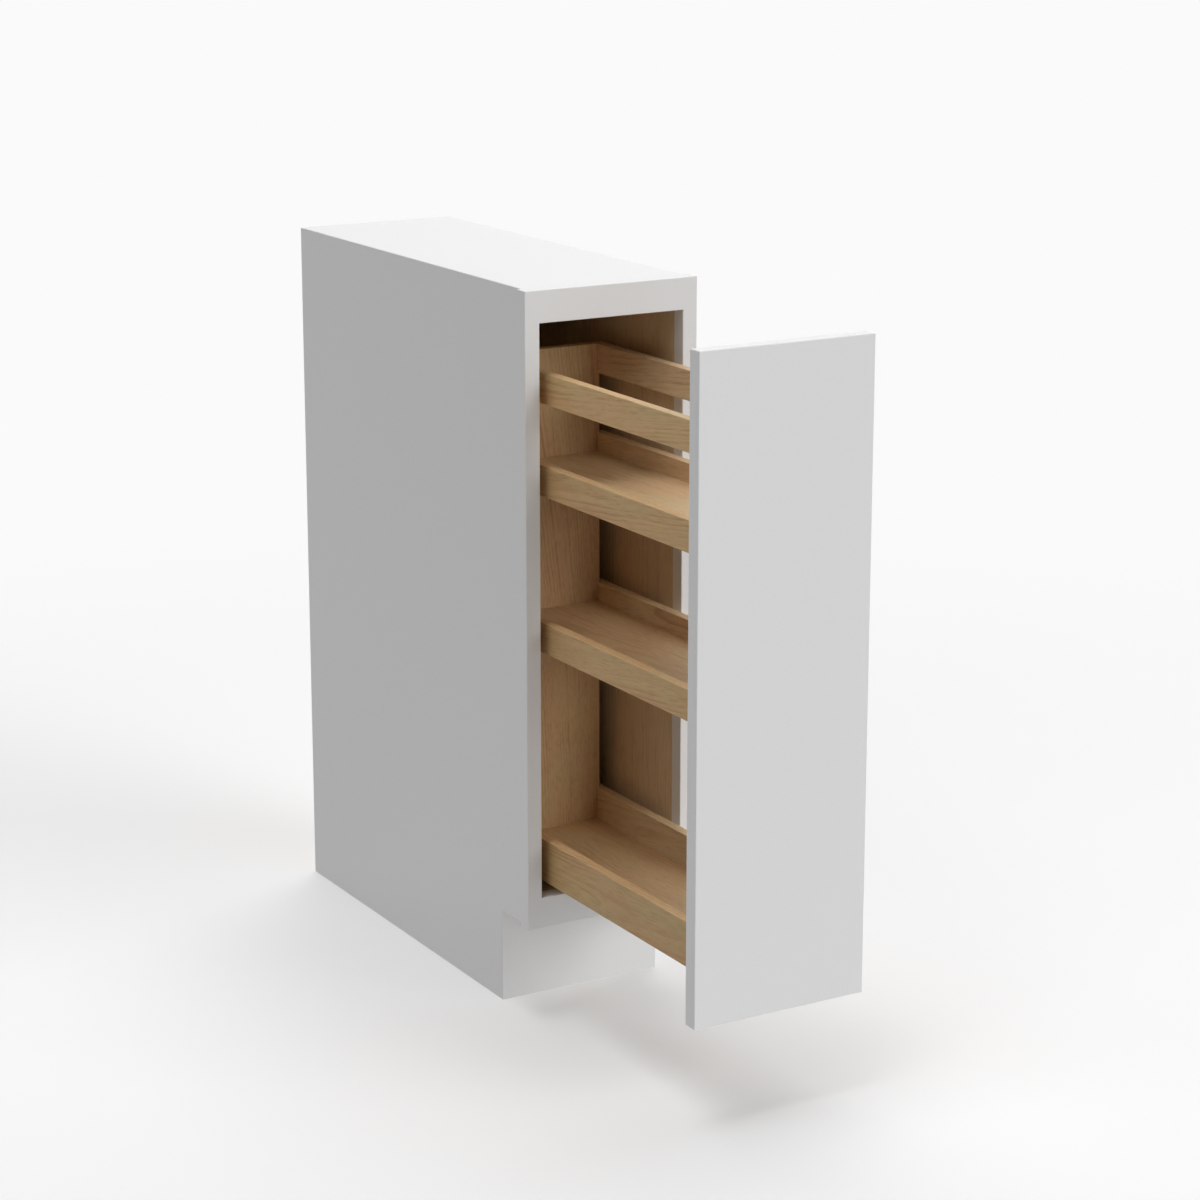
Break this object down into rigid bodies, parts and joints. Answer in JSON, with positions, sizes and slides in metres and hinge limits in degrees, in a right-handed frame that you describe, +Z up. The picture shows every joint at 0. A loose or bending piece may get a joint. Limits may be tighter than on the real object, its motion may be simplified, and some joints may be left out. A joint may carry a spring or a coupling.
{
  "type": "narrow base cabinet",
  "caption": "Narrow face-frame base cabinet whose full-overlay slab door draws out a tall wooden rack of railed shelves on full-extension runners.",
  "frame": {"origin": "centre of the width, on the floor, in the plane of the wall behind the cabinet", "axes": "+X to the right as seen from the front, +Y towards the wall, so the rack slides out along -Y, +Z up"},
  "size_m": [0.2286, 0.9736, 0.8763],
  "materials": {
    "white_lacquer": "satin white lacquer",
    "natural_wood": "clear matt lacquer on light veneer",
    "runner_steel": "zinc plated",
    "cage_steel": "plain sheet",
    "ball_steel": "polished",
    "screw_steel": "zinc plated",
    "bumper_rubber": "soft clear"
  },
  "bodies": {
    "cabinet": {"left_side_panel": "white_lacquer", "right_side_panel": "white_lacquer", "cabinet_floor": "natural_wood", "top_panel": "white_lacquer", "back_panel": "natural_wood", "upper_hanging_rail": "natural_wood", "lower_hanging_rail": "natural_wood", "toe_kick_board": "white_lacquer", "toe_kick_blocks": "natural_wood", "left_stile": "white_lacquer", "right_stile": "white_lacquer", "top_rail": "white_lacquer", "bottom_rail": "white_lacquer", "frame_dowels": "natural_wood", "back_nails": "screw_steel", "left_cabinet_runner": "runner_steel", "right_cabinet_runner": "runner_steel", "runner_floor_screws": "screw_steel"},
    "rack": {"door_slab": "white_lacquer", "door_bumpers": "bumper_rubber", "door_screws": "screw_steel", "rack_front_board": "natural_wood", "rack_back_board": "natural_wood", "tray_board": "natural_wood", "lower_shelf": "natural_wood", "upper_shelf": "natural_wood", "rail_dowels": "natural_wood", "shelf_dowels": "natural_wood", "left_rack_runner": "runner_steel", "right_rack_runner": "runner_steel", "runner_tray_screws": "screw_steel", "tray_rail_left": "natural_wood", "tray_rail_right": "natural_wood", "lower_rail_left": "natural_wood", "lower_rail_right": "natural_wood", "upper_rail_left": "natural_wood", "upper_rail_right": "natural_wood", "guard_rail_left": "natural_wood", "guard_rail_right": "natural_wood"},
    "left_middle": {"left_middle_runner": "runner_steel"},
    "left_lower_balls_and_cage": {"left_lower_cage": "cage_steel", "left_lower_balls": "ball_steel"},
    "left_upper_balls_and_cage": {"left_upper_cage": "cage_steel", "left_upper_balls": "ball_steel"},
    "right_middle": {"right_middle_runner": "runner_steel"},
    "right_lower_balls_and_cage": {"right_lower_cage": "cage_steel", "right_lower_balls": "ball_steel"},
    "right_upper_balls_and_cage": {"right_upper_cage": "cage_steel", "right_upper_balls": "ball_steel"}
  },
  "joints": [
    {"name": "rack_slide", "type": "slide", "parent": "cabinet", "child": "rack", "axis": [0, -1, 0], "range_m": [-0.343, 0.157]},
    {"name": "left_middle_slide", "type": "slide", "parent": "cabinet", "child": "left_middle", "axis": [0, -1, 0], "range_m": [-0.1716, 0.0786]},
    {"name": "left_lower_cage_slide", "type": "slide", "parent": "cabinet", "child": "left_lower_balls_and_cage", "axis": [0, -1, 0], "range_m": [-0.08585, 0.03935]},
    {"name": "left_upper_cage_slide", "type": "slide", "parent": "cabinet", "child": "left_upper_balls_and_cage", "axis": [0, -1, 0], "range_m": [-0.25735, 0.11785]},
    {"name": "right_middle_slide", "type": "slide", "parent": "cabinet", "child": "right_middle", "axis": [0, -1, 0], "range_m": [-0.1716, 0.0786]},
    {"name": "right_lower_cage_slide", "type": "slide", "parent": "cabinet", "child": "right_lower_balls_and_cage", "axis": [0, -1, 0], "range_m": [-0.08585, 0.03935]},
    {"name": "right_upper_cage_slide", "type": "slide", "parent": "cabinet", "child": "right_upper_balls_and_cage", "axis": [0, -1, 0], "range_m": [-0.25735, 0.11785]}
  ],
  "couplings": [
    {"joint": "left_middle_slide", "follows": "rack_slide", "ratio": 0.5},
    {"joint": "left_lower_cage_slide", "follows": "rack_slide", "ratio": 0.25},
    {"joint": "left_upper_cage_slide", "follows": "rack_slide", "ratio": 0.75},
    {"joint": "right_middle_slide", "follows": "rack_slide", "ratio": 0.5},
    {"joint": "right_lower_cage_slide", "follows": "rack_slide", "ratio": 0.25},
    {"joint": "right_upper_cage_slide", "follows": "rack_slide", "ratio": 0.75}
  ]
}
